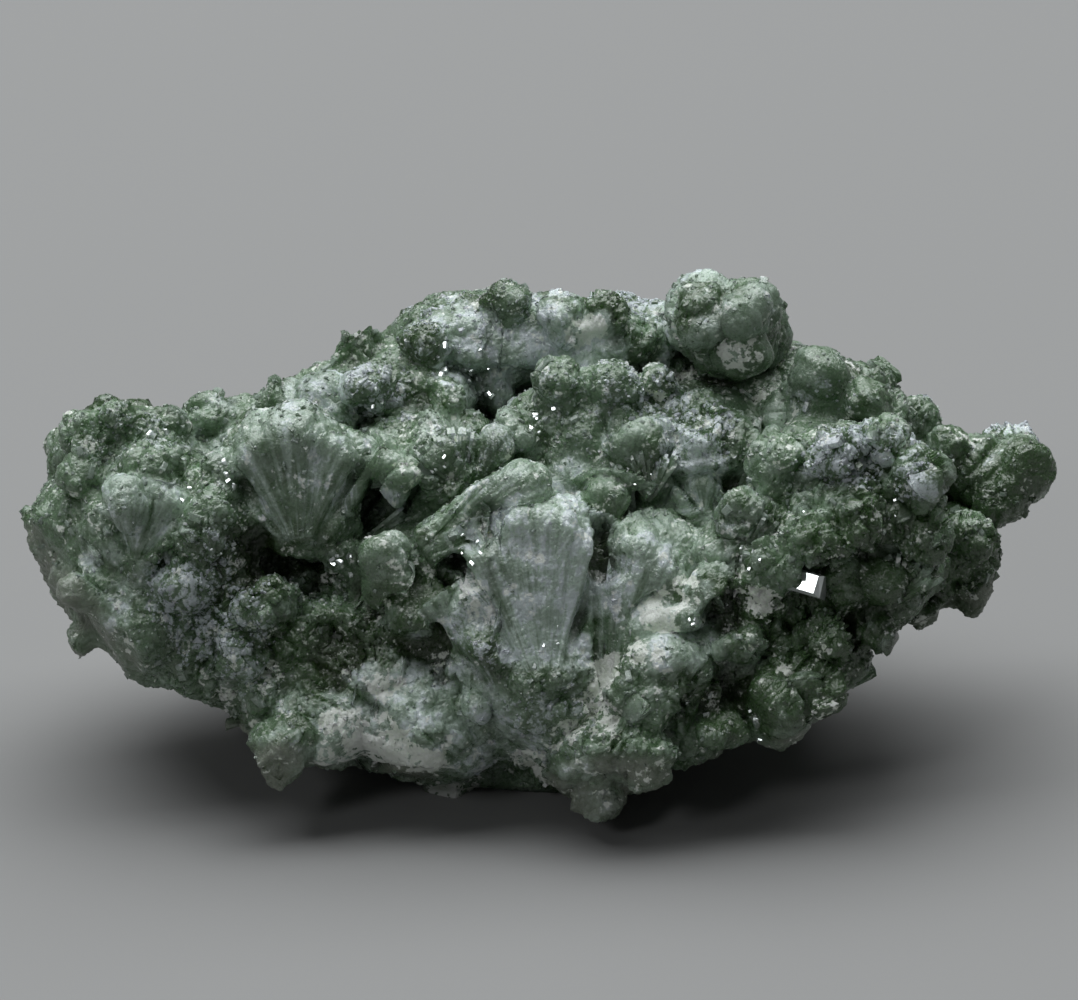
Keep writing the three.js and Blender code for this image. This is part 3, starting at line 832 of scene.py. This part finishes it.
def growthAt(points):
    # The place in the crystals' own measure: on platy parts each domain has a direction,
    # measured from its middle, along which its crystals are thinner
    size, height = body["warp"]
    warped = points + height * np.stack([waves(points, size, 2, seed=50 + k) for k in range(3)], axis=1)
    _, _, offset, number = cells(warped, body["domains"], seed=70)
    platy = platyAt(points, number)
    thin = unit(number - 0.5)
    reach = (offset * thin).sum(axis=1) * body["domains"]
    return warped + ((body["flatten"] - 1) * platy * reach)[:, None] * thin, number, platy


def domeShare(relief, look):
    # Relief as a share of its range
    size, height, slopes, steps = look
    span = 0.5 * (size * slopes[1] + steps[1]) + height
    return np.clip(0.5 + 0.55 * (relief - 0.5 * height) / span, 0, 1)


def bodyRelief(points):
    # How far the surface stands out, in mm, with its tone and its streaks
    zones, broken = zonesAt(points), brokenAt(points)
    onFan, along, milky, arch, fanFlow = fanAt(points)
    growth, domain, platy = growthAt(points)
    balls = body["balls"][1] * dome(cells(points, body["balls"][0], 1)[0])
    leaves, leafGap, leafNumber = crystalCells(growth, body["leaves"], 11, platy)
    facets, facetGap, facetNumber = crystalCells(growth, body["facets"], 21, platy)
    grains = crystalCells(points, body["grains"], 31)[0]
    ribs = sum(crystalCells(fanFlow, look, 41)[0] for look in body["ribs"])
    # Crystals are lower on fans, whose own ribs grow towards the crest, and on broken faces
    edge = smooth(0.72, 1.0, along)
    onRibs, atCrest = body["fanCalm"]
    calm = (1 - onFan * (onRibs - atCrest * edge)) * (1 - body["milkCalm"] * zones[:, 0])
    relief = (1 - broken) * calm * balls + (0.3 * broken + (1 - broken) * calm) * leaves
    relief += (broken + (1 - broken) * calm) * facets
    relief += (1 - 0.6 * onFan * (1 - edge)) * grains
    relief += onFan * (ribs * (0.3 + 0.7 * along) + body["arch"] * (arch * (0.4 + 0.6 * along) - 0.4))
    relief += body["swell"][1] * waves(points, body["swell"][0], 3, seed=30)
    relief -= body["lowered"] + pitAt(points)
    top = sum(share * domeShare(part, body[kind]) for share, part, kind in zip(
        body["tops"], (leaves, facets, grains), ("leaves", "facets", "grains")))
    crest = top * (0.45 + 0.55 * leafGap * facetGap)
    crest = crest * (1 - onFan) + onFan * np.clip(0.25 + 0.5 * along ** 2 + 0.5 * (top - 0.5), 0, 1)
    shade = 0.35 * leafNumber[:, 1] + 0.35 * facetNumber[:, 1] + 0.3 * domain[:, 1]
    flow = np.where(onFan[:, None] > 0.4, fanFlow, growth * 0.55)
    zones[:, 0] = np.maximum(zones[:, 0], milky)
    return relief, crest, shade, broken, flow, zones


def shapedSlab(points, triangles, low, high):
    normals = normalsOf(points, triangles)
    relief, crest, shade, broken, flow, zones = bodyRelief(points)
    past = np.maximum(np.maximum(low - points[:, 0], points[:, 0] - high), 0)
    relief = relief * smooth(0, body["restSpan"], points[:, 2]) - body["sink"] * past
    moved = points + normals * relief[:, None]
    least = np.array(stoneBox[0]) / mm - body["beyondBox"]
    most = np.array(stoneBox[1]) / mm + body["beyondBox"]
    least[2] = 0
    moved = np.clip(moved, least, most)
    return moved, triangles, crest, shade, broken, flow, zones


# How closed in each place is: the share of stone around it, from a grid of filled cubes
# blurred by two radii

# The colour reads it as painted shade in the hollows
cavity = {
    "step": 0.7,
    "margin": 9,
    "blurs": ((1.1, 0.55), (3.2, 0.45)),    # radius, and share of the sum
    "out": 0.6,                 # how far out of the surface it is read
}


def blurred(grid, radius):
    # A bell curve run along each axis in turn
    reach = int(3 * radius / cavity["step"]) + 1
    offsets = np.arange(-reach, reach + 1)
    bell = np.exp(-0.5 * (offsets * cavity["step"] / radius) ** 2)
    bell /= bell.sum()
    for axis in range(3):
        grid = sum(share * np.roll(grid, offset, axis) for offset, share in zip(offsets, bell))
    return grid


def filledGrid():
    # Columns of cubes, filled between each pair of crossings of a vertical line
    step, margin = cavity["step"], cavity["margin"]
    low = solidPoints.min(axis=0) - margin
    shape = tuple(np.ceil((solidPoints.max(axis=0) + margin - low) / step).astype(int))
    grid = np.zeros(shape, dtype=np.float32)
    top = low[2] + shape[2] * step
    down = Vector((0, 0, -1))
    for i in range(shape[0]):
        for j in range(shape[1]):
            x, y, z = low[0] + i * step, low[1] + j * step, top
            crossings = []
            while True:
                hit = solidTree.ray_cast(Vector((x, y, z)), down)
                if hit[0] is None:
                    break
                z = hit[0].z - 1e-3
                crossings.append((z - low[2]) / step)
            for above, below in zip(crossings[::2], crossings[1::2]):
                grid[i, j, int(round(below)):int(round(above))] = 1
    return grid, low


filled, gridLow = filledGrid()
shutIn = sum(share * blurred(filled, radius) for radius, share in cavity["blurs"])


def cavityAt(points, normals, out=cavity["out"]):
    # The blurred grid read between its cubes, a little way out of the surface
    place = (points + normals * out - gridLow) / cavity["step"]
    place = np.clip(place, 0, np.array(shutIn.shape) - 1.001)
    base = place.astype(np.int64)
    x, y, z = base.T
    return sum(share * shutIn[x + dx, y + dy, z + dz]
               for dx, dy, dz, share in cornerShares(place - base))


def stoneBody():
    # Makes the slabs and gives every face's middle and normal between the seams
    points, triangles = gridBody()
    print("grid of", len(triangles), "triangles")
    seams = np.quantile(points[triangles[:, 0], 0], np.arange(1, body["slabs"]) / body["slabs"])
    ends = (-math.inf, *seams, math.inf)
    middles, facings = [], []
    for number, (low, high) in enumerate(zip(ends[:-1], ends[1:])):
        slab = slabOf(points, triangles, low - body["under"], high + body["under"])
        moved, faces, crest, shade, broken, flow, zones = shapedSlab(*slab, low, high)
        normals = normalsOf(moved, faces)
        tone = np.stack([crest, cavityAt(moved, normals), shade, broken], axis=1)
        piece = makePiece(f"prehniteCore{number + 1}", moved, [faces], tone, flow, bodyLook,
                          math.radians(body["crease"]), zones)
        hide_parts("prehnite")
        middle = moved[faces].mean(axis=1)
        own = (middle[:, 0] > low) & (middle[:, 0] <= high)
        middles.append(middle[own])
        facings.append(normals[faces].mean(axis=1)[own])
    return np.concatenate(middles), unit(np.concatenate(facings))


faceMiddles, faceNormals = stoneBody()


# Small crystals, each kind one template carried to many places on the body

faceZones = zonesAt(faceMiddles)
faceBroken = brokenAt(faceMiddles)
faceCavity = cavityAt(faceMiddles, faceNormals)
faceFan = fanAt(faceMiddles)[0]
faceBare = (faceMiddles[:, 2] < 2.0) & (faceNormals[:, 2] < -0.5)


def spreadOver(spacing, share):
    # The first face in a shuffled order from each cube of a grid, kept at the given share
    order = random.permutation(len(faceMiddles))
    cube = np.floor(faceMiddles[order] / spacing + 0.37).astype(np.int64)
    key = (cube[:, 0] * 4001 + cube[:, 1]) * 4001 + cube[:, 2]
    _, first = np.unique(key, return_index=True)
    chosen = order[np.sort(first)]
    keep = random.random(len(chosen)) < share[chosen]
    return chosen[keep & ~faceBare[chosen]]


def anyWay(count):
    return unit(random.normal(size=(count, 3)))


def frameOf(up):
    # Three axes for each crystal: a random one across, the one square to both, and up
    across = unit(np.cross(anyWay(len(up)), up))
    return np.stack([across, np.cross(up, across), up], axis=1)


def ringFaces(stations, around):
    # Quads between neighbouring rings, and a closing face at each end
    ring = np.arange(around)
    following = (ring + 1) % around
    start = (np.arange(stations - 1) * around)[:, None]
    quads = np.stack([start + ring, start + following, start + around + following,
                      start + around + ring], axis=2).reshape(-1, 4)
    ends = np.stack([ring[::-1], (stations - 1) * around + ring])
    return quads, ends


smallCrystals = {
    "lowest": 0.25,             # no corner of a small crystal comes nearer to the table
    "crest": (0.15, 0.7),       # crest value at its root and how much it gains to its top
    "out": 0.3,                 # how far out of a crystal its cavity is read
    "drawn": (1, 1, 0.3),       # its streaks are drawn out along its height
    "streaks": 90,              # range over which crystals read their streaks
}


def grow(name, shape, middles, axes, sizes, material, ragged, shade=None, angle=None):
    # Every corner is its place, plus the template's corner times the size, along the axes
    template, faces = shape
    count, corners = len(middles), len(template)
    local = template[None] * sizes[:, None, :]
    local = local * (1 + ragged * random.uniform(-1, 1, (count, corners, 1)))
    points = (middles[:, None, :] + np.einsum("nvk,nkj->nvj", local, axes)).reshape(-1, 3)
    starts = (np.arange(count) * corners)[:, None, None]
    allFaces = [(rows[None] + starts).reshape(-1, rows.shape[1]) for rows in faces]
    height = template[:, 2]
    height = (height - height.min()) / (height.max() - height.min())
    crest = np.tile(height, count)
    shade = random.random(count) if shade is None else shade
    points[:, 2] = np.maximum(points[:, 2], smallCrystals["lowest"])
    outward = unit(np.repeat(axes[:, 2], corners, axis=0))
    rootCrest, gain = smallCrystals["crest"]
    tone = np.stack([rootCrest + gain * crest ** 1.5, cavityAt(points, outward, smallCrystals["out"]),
                     np.repeat(shade, corners), 0 * crest], axis=1)
    start = random.uniform(-smallCrystals["streaks"], smallCrystals["streaks"], (count, 3))
    flow = (local * smallCrystals["drawn"]).reshape(-1, 3) + np.repeat(start, corners, axis=0)
    return makePiece(name, points, allFaces, tone, flow, material, angle)


def plateTemplate(stations, around):
    # A leaf of crystal: a narrow root, a round crest, thin at its sides. Across it goes u,
    # round its section an angle. One unit high, wide and thick
    u = np.linspace(-1, 1, stations)[:, None]
    turn = np.linspace(0, 2 * math.pi, around, endpoint=False)[None, :]
    along = 0.5 + 0.5 * np.sign(np.cos(turn)) * np.abs(np.cos(turn)) ** 0.6
    side = np.sign(np.sin(turn)) * np.abs(np.sin(turn)) ** 0.6
    radius = along * (1 - 0.12 * u ** 2)
    x = radius * np.sin(0.75 * u) * 0.75 + 0.1 * u
    z = radius * np.cos(0.75 * u)
    y = side * 0.5 * (1 - 0.6 * u ** 2)
    points = np.stack([x, y * np.ones_like(x), z], axis=2).reshape(-1, 3)
    return points, ringFaces(stations, around)


bowTies = {
    "spacing": 4.2,
    "plates": 4,
    "size": (2.7, 1.1, 2.9),    # width, thickness and height
    "opening": 0.45,            # angle from the middle to the outermost plate
    "proud": 0.1,               # share of the height that stands out of the stone
    "facets": (7, 6),           # stations across a plate and corners round its section
    "lean": 0.5,                # how far its way of growing may be off the surface's normal
    "uneven": 0.12,             # angle by which a plate may be off its place
    "twist": 0.15,
    "scale": (0.6, 1.3),
    "plateScale": (0.85, 1.1),
    "ragged": 0.04,             # how far corners are moved, as a share, here and below
    "crease": 50,               # degrees
    "share": (0.08, 0.3),       # how often, and how much more often on the right-hand mass
}


def plateClusters(share):
    # Plates that share a root and open like the leaves of a book about an axis that lies
    # across the way they grow
    count, opening, height = bowTies["plates"], bowTies["opening"], bowTies["size"][2]
    chosen = spreadOver(bowTies["spacing"], share)
    axes = frameOf(unit(faceNormals[chosen] + bowTies["lean"] * anyWay(len(chosen))))
    book = np.repeat(np.arange(len(chosen)), count)
    leaf = np.tile(np.linspace(-1, 1, count), len(chosen)) * opening
    leaf = leaf + random.uniform(-bowTies["uneven"], bowTies["uneven"], len(leaf))
    up = np.cos(leaf)[:, None] * axes[book, 2] + np.sin(leaf)[:, None] * axes[book, 1]
    across = unit(axes[book, 0] + bowTies["twist"] * anyWay(len(book)))
    across = unit(across - up * (across * up).sum(axis=1, keepdims=True))
    frames = np.stack([across, np.cross(up, across), up], axis=1)
    scale = random.uniform(*bowTies["scale"], len(chosen))[book]
    scale = scale * random.uniform(*bowTies["plateScale"], len(book))
    sizes = scale[:, None] * bowTies["size"]
    middles = faceMiddles[chosen][book] - up * ((1 - bowTies["proud"]) * height * scale)[:, None]
    shade = random.random(len(chosen))[book] * 0.6 + random.random(len(book)) * 0.4
    return grow("bowTies", plateTemplate(*bowTies["facets"]), middles, frames, sizes, crystalLook,
                bowTies["ragged"], shade, math.radians(bowTies["crease"]))


milk, frost, white, _ = faceZones.T
upFace = smooth(-0.3, 0.5, faceNormals[:, 2])
openness = 1 - smooth(0.5, 0.68, faceCavity)
rightSide = smooth(14, 20, faceMiddles[:, 0])
alive = (1 - faceBroken) * (1 - 0.9 * white) * (1 - 0.85 * faceFan)
horn = smooth(33, 37, faceMiddles[:, 0])
often, more = bowTies["share"]
plateClusters(alive * (often + more * rightSide) * (1 - 0.8 * milk) * (1 - horn))


# Sheaves of thin plates seen edge-on: as for the fans, with their depth in mm and their number
# of plates
sheafParts = ("root", "reach", "aim", "spread", "deep", "count")
sheaves = [dict(zip(sheafParts, row)) for row in (
    ((462, 492), 66, 122, 42, 3.4, 24),
    ((352, 548), 66, 22, 17, 2.4, 11),
    ((650, 502), 56, 95, 40, 3.0, 22),
    ((742, 560), 52, 60, 38, 2.6, 16),
    ((890, 610), 60, 70, 38, 2.8, 18),
)]


def squareRings(rings):
    # Four-sided rings, each a height, a width and a depth, joined and closed
    points = [(x * wide / 2, y * deep / 2, z) for z, wide, deep in rings
              for x, y in ((-1, -1), (1, -1), (1, 1), (-1, 1))]
    return np.array(points), ringFaces(len(rings), 4)


sheafBuild = {
    "found": 0.55,              # share of the reach at which a sheaf's place is looked up
    "sunk": 0.36,               # how deep its middle lies, as a share of its depth
    "uneven": 0.3,              # how unevenly its plates are spread, as a share of their gap
    "lean": 0.06,
    "length": (0.82, 1.04),
    "thick": (0.9, 1.3),
    "deep": (0.7, 1.1),
    "ragged": 0.03,
}

# A thin plate that widens from its root to its crest, which has its corners cut off
sheafShape = squareRings(((-0.5, 0.25, 0.5), (0.0, 0.75, 0.8), (0.4, 1.0, 1.0), (0.5, 0.7, 0.8)))

# A low block, its upper edges cut off
tabletShape = squareRings(((-0.6, 1.0, 0.84), (0.3, 1.0, 0.84), (0.5, 0.78, 0.6552)))

# A squat crystal point: four sides rising to a small uneven top
grainShape = np.array([(-0.5, -0.5, -0.4), (0.5, -0.5, -0.4), (0.5, 0.5, -0.4), (-0.5, 0.5, -0.4),
                       (-0.2, -0.25, 0.5), (0.25, -0.2, 0.5), (0.2, 0.25, 0.5),
                       (-0.25, 0.2, 0.5)]), ringFaces(2, 4)


def sheafPlates():
    middles, axes, sizes = [], [], []
    for sheaf in sheaves:
        count, reach = sheaf["count"], sheaf["reach"] / sight["pixelsPerMm"]
        aim, spread = math.radians(sheaf["aim"]), math.radians(sheaf["spread"])
        root = alongFan(sheaf, sheafBuild["found"]) - sheafBuild["found"] * reach * inPicture(aim)
        root = root - toward * sheafBuild["sunk"] * sheaf["deep"]
        angle = aim + np.linspace(-1, 1, count) * spread
        angle = angle + random.normal(0, sheafBuild["uneven"] * spread / count, count)
        up = np.cos(angle)[:, None] * right + np.sin(angle)[:, None] * upward
        up = unit(up + random.normal(0, sheafBuild["lean"], count)[:, None] * toward)
        length = reach * random.uniform(*sheafBuild["length"], count)
        thin = unit(np.cross(np.broadcast_to(toward, up.shape), up))
        middles.append(root + up * (length * 0.5)[:, None])
        axes.append(np.stack([np.cross(thin, up), thin, up], axis=1))
        thick = 2 * spread * reach / count * random.uniform(*sheafBuild["thick"], count)
        deep = sheaf["deep"] * random.uniform(*sheafBuild["deep"], count)
        sizes.append(np.stack([deep, thick, length], axis=1))
    return grow("sheafPlates", sheafShape, np.concatenate(middles), np.concatenate(axes),
                np.concatenate(sizes), sheafLook, sheafBuild["ragged"])


sheafPlates()


tabulars = {
    "spacing": 1.6,
    "sizes": (0.4, 1.2),        # most are near the smaller
    "crowding": 2.5,            # the power that brings them there
    "stretch": ((0.7, 1.3), (0.5, 1.0), (0.8, 1.3)),    # along each of its axes
    "lean": 0.5,
    "sunk": 0.34,               # how deep the middle lies, as a share of the size
    "ragged": 0.12,
    "share": (0.25, 0.3),       # how often, and how much more often where it is frosted
}


def tablets(share):
    chosen = spreadOver(tabulars["spacing"], share)
    up = unit(faceNormals[chosen] + tabulars["lean"] * anyWay(len(chosen)))
    low, high = tabulars["sizes"]
    size = low + (high - low) * random.random(len(chosen)) ** tabulars["crowding"]
    sizes = np.stack([size * random.uniform(*span, len(chosen)) for span in tabulars["stretch"]], axis=1)
    middles = faceMiddles[chosen] - faceNormals[chosen] * (tabulars["sunk"] * size)[:, None]
    return grow("tabularCrystals", tabletShape, middles, frameOf(up), sizes, crystalLook,
                tabulars["ragged"])


often, more = tabulars["share"]
tablets(alive * (often + more * frost) * (1 - 0.8 * milk) * (0.4 + 0.6 * openness))


sugar = {
    "spacing": 0.55,
    "most": 15000,
    "sizes": (0.2, 0.5),
    "stretch": (0.7, 1.4),
    "lean": 0.7,
    "sunk": 0.1,                # mm
    "ragged": 0.1,
    "share": (0.12, 0.7, 0.2),  # how often, and how much more on frost and on upward faces
}


def grains():
    often, onFrost, onTop = sugar["share"]
    share = (often + onFrost * frost + onTop * upFace) * (1 - 0.7 * milk) * (1 - 0.8 * faceBroken)
    share = share * (1 - 0.7 * faceFan)
    chosen = spreadOver(sugar["spacing"], share)[:sugar["most"]]
    up = unit(faceNormals[chosen] + sugar["lean"] * anyWay(len(chosen)))
    size = random.uniform(*sugar["sizes"], len(chosen))
    sizes = size[:, None] * random.uniform(*sugar["stretch"], (len(chosen), 3))
    middles = faceMiddles[chosen] - sugar["sunk"] * faceNormals[chosen]
    return grow("sugarGrains", grainShape, middles, frameOf(up), sizes, crystalLook, sugar["ragged"])


grains()


# Mirror-bright faces: pixel, how many and their size in mm. Each is turned to throw one of the
# two lights at the camera, give or take a few degrees

skylight = {"place": (-0.1, 0.4, 1.25), "size": (2.0, 1.3), "power": 38.0, "colour": (0.96, 0.985, 1.0)}
window = {"place": (-0.7, -0.9, 0.8), "size": (0.25, 0.25), "power": 2.0, "colour": (0.97, 0.99, 1.0)}
glints = {
    "spots": [
        (447, 360, 7, 0.7), (490, 395, 9, 0.45), (545, 415, 7, 0.5), (467, 549, 6, 0.45),
        (158, 441, 5, 0.5), (338, 556, 6, 0.45), (224, 545, 6, 0.35), (182, 506, 4, 0.4),
        (226, 478, 4, 0.5), (440, 462, 5, 0.5), (705, 703, 4, 0.5), (757, 715, 4, 0.5),
        (745, 555, 6, 0.4), (910, 565, 5, 0.5), (940, 548, 3, 0.5), (480, 365, 5, 0.4),
        (378, 392, 5, 0.4), (640, 470, 6, 0.3), (860, 470, 8, 0.3), (260, 600, 6, 0.3),
        (800, 520, 6, 0.3), (700, 620, 5, 0.3), (560, 640, 5, 0.25), (890, 520, 6, 0.3),
    ],
    "large": {"pixel": (800, 581), "size": (4.4, 2.4, 2.8), "proud": 1.4},
    "scatter": 0.8,             # how far from the pixel they lie in mm
    "turn": 0.16,               # how far they are turned off the light, as a tangent
    "steady": 0.3,              # share of that where the light is the small one
    "shape": (1.2, 0.8, 0.7),
    "ragged": 0.05,
}


def mirrorFaces():
    toSky, toWindow = (unit(np.array(light["place"])) for light in (skylight, window))
    middles, normals, sizes = [], [], []
    for column, row, count, size in glints["spots"]:
        aside = glints["scatter"] * random.normal(size=(count, 2))
        for x, z in aside:
            spot = seen(column + x * sight["pixelsPerMm"], row + z * sight["pixelsPerMm"])
            index = np.argmin(((faceMiddles - spot) ** 2).sum(axis=1))
            middles.append(faceMiddles[index])
            sizes.append(size * random.uniform(0.6, 1.2))
            toLight = toWindow if random.random() < 0.5 else toSky
            turn = glints["turn"] * (glints["steady"] if toLight is toWindow else 1)
            normals.append(unit(toLight + toward) + turn * random.normal(size=3))
    axes = frameOf(unit(np.array(normals)))
    sizes = np.array(sizes)[:, None] * glints["shape"]
    # The one large face lies square to the light, its long side across the picture
    spot = seen(*glints["large"]["pixel"]) + toward * glints["large"]["proud"]
    up = unit(toWindow + toward)
    aside = right - 0.3 * upward
    across = unit(aside - up * (aside @ up))
    middles = np.array(middles + [spot])
    axes = np.concatenate([axes, [[across, np.cross(up, across), up]]])
    sizes = np.concatenate([sizes, [glints["large"]["size"]]])
    return grow("brightFaces", tabletShape, middles, axes, sizes, mirrorLook, glints["ragged"])


# Cleavage faces throw the light back like pearl
mirrorLook = plainMaterial("prehniteMirror", (0.82, 0.87, 0.86, 1), 0.16, metallic=0.5, coat=0.5)
mirrorFaces()


# Floor and light

table = {"side": 3, "colour": (0.225, 0.225, 0.223, 1), "rough": 0.8}
air = {"colour": (0.93, 0.96, 1.0, 1), "strength": 0.055}


def makeFloor():
    side = table["side"]
    mesh = bpy.data.meshes.new("floor")
    mesh.from_pydata([(-side, -side, 0), (side, -side, 0), (side, side, 0), (-side, side, 0)], [],
                     [(0, 1, 2, 3)])
    mesh.materials.append(plainMaterial("paleFloor", table["colour"], table["rough"]))
    floor = bpy.data.objects.new("floor", mesh)
    bpy.context.collection.objects.link(floor)


def makeLight(name, wanted):
    light = bpy.data.lights.new(name, "AREA")
    light.shape = "RECTANGLE"
    light.size, light.size_y = wanted["size"]
    light.energy = wanted["power"]
    light.color = wanted["colour"]
    lamp = bpy.data.objects.new(name, light)
    lamp.location = wanted["place"]
    lamp.rotation_euler = (-Vector(wanted["place"])).to_track_quat("-Z", "Y").to_euler()
    bpy.context.collection.objects.link(lamp)


def makeWorld():
    world = bpy.data.worlds.new("studio")
    world.use_nodes = True
    background = world.node_tree.nodes["Background"]
    background.inputs["Color"].default_value = air["colour"]
    background.inputs["Strength"].default_value = air["strength"]
    bpy.context.scene.world = world
    bpy.context.scene.view_settings.view_transform = "Standard"


makeFloor()
makeLight("skylight", skylight)
makeLight("window", window)
makeWorld()
print("floor and light set")
